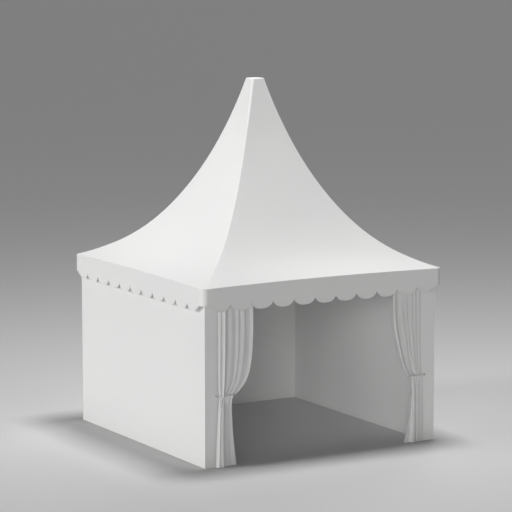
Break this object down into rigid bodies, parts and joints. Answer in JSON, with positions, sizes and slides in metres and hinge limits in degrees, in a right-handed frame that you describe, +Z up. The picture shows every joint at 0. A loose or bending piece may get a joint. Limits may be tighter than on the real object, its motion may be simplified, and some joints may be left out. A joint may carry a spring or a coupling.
{
  "type": "exhibition tent",
  "caption": "Square pagoda exhibition tent with a peaked fabric roof, scalloped valance, three closed walls and a front opening with tied-back curtains.",
  "frame": {"origin": "centre of the tent's square plan, on the ground", "axes": "+Z up along the mast to the peak; the open, curtained front looks along -Y; +X is to the right seen from the front"},
  "size_m": [4.16, 4.16, 5.49],
  "materials": {
    "pvc_cloth": "matt coated cloth",
    "lining_cloth": "woven",
    "curtain_cloth": "soft woven",
    "frame_aluminium": "anodised",
    "galvanised_steel": "galvanised"
  },
  "bodies": {
    "root": {"roof_gore_front": "pvc_cloth", "roof_gore_back": "pvc_cloth", "roof_gore_left": "pvc_cloth", "roof_gore_right": "pvc_cloth", "peak_cap": "pvc_cloth", "valance_front": "pvc_cloth", "valance_back": "pvc_cloth", "valance_left": "pvc_cloth", "valance_right": "pvc_cloth", "wall_panel_left": "pvc_cloth", "wall_panel_right": "pvc_cloth", "wall_panel_back": "pvc_cloth", "post_cover_left": "pvc_cloth", "post_cover_right": "pvc_cloth", "wall_lining_left": "lining_cloth", "wall_lining_right": "lining_cloth", "wall_lining_back": "lining_cloth", "curtain_left": "curtain_cloth", "curtain_right": "curtain_cloth", "tie_band_left": "curtain_cloth", "tie_band_right": "curtain_cloth", "curtain_track": "frame_aluminium", "corner_post_front_left": "frame_aluminium", "corner_post_front_right": "frame_aluminium", "corner_post_back_left": "frame_aluminium", "corner_post_back_right": "frame_aluminium", "corner_head_front_left": "frame_aluminium", "corner_head_front_right": "frame_aluminium", "corner_head_back_left": "frame_aluminium", "corner_head_back_right": "frame_aluminium", "eave_beam_front": "frame_aluminium", "eave_beam_back": "frame_aluminium", "eave_beam_left": "frame_aluminium", "eave_beam_right": "frame_aluminium", "king_pole": "frame_aluminium", "mast_foot": "galvanised_steel", "cross_cable_front_left": "galvanised_steel", "cross_cable_front_right": "galvanised_steel", "cross_cable_back_left": "galvanised_steel", "cross_cable_back_right": "galvanised_steel", "base_plate_front_left": "galvanised_steel", "base_plate_front_right": "galvanised_steel", "base_plate_back_left": "galvanised_steel", "base_plate_back_right": "galvanised_steel"}
  },
  "joints": []
}
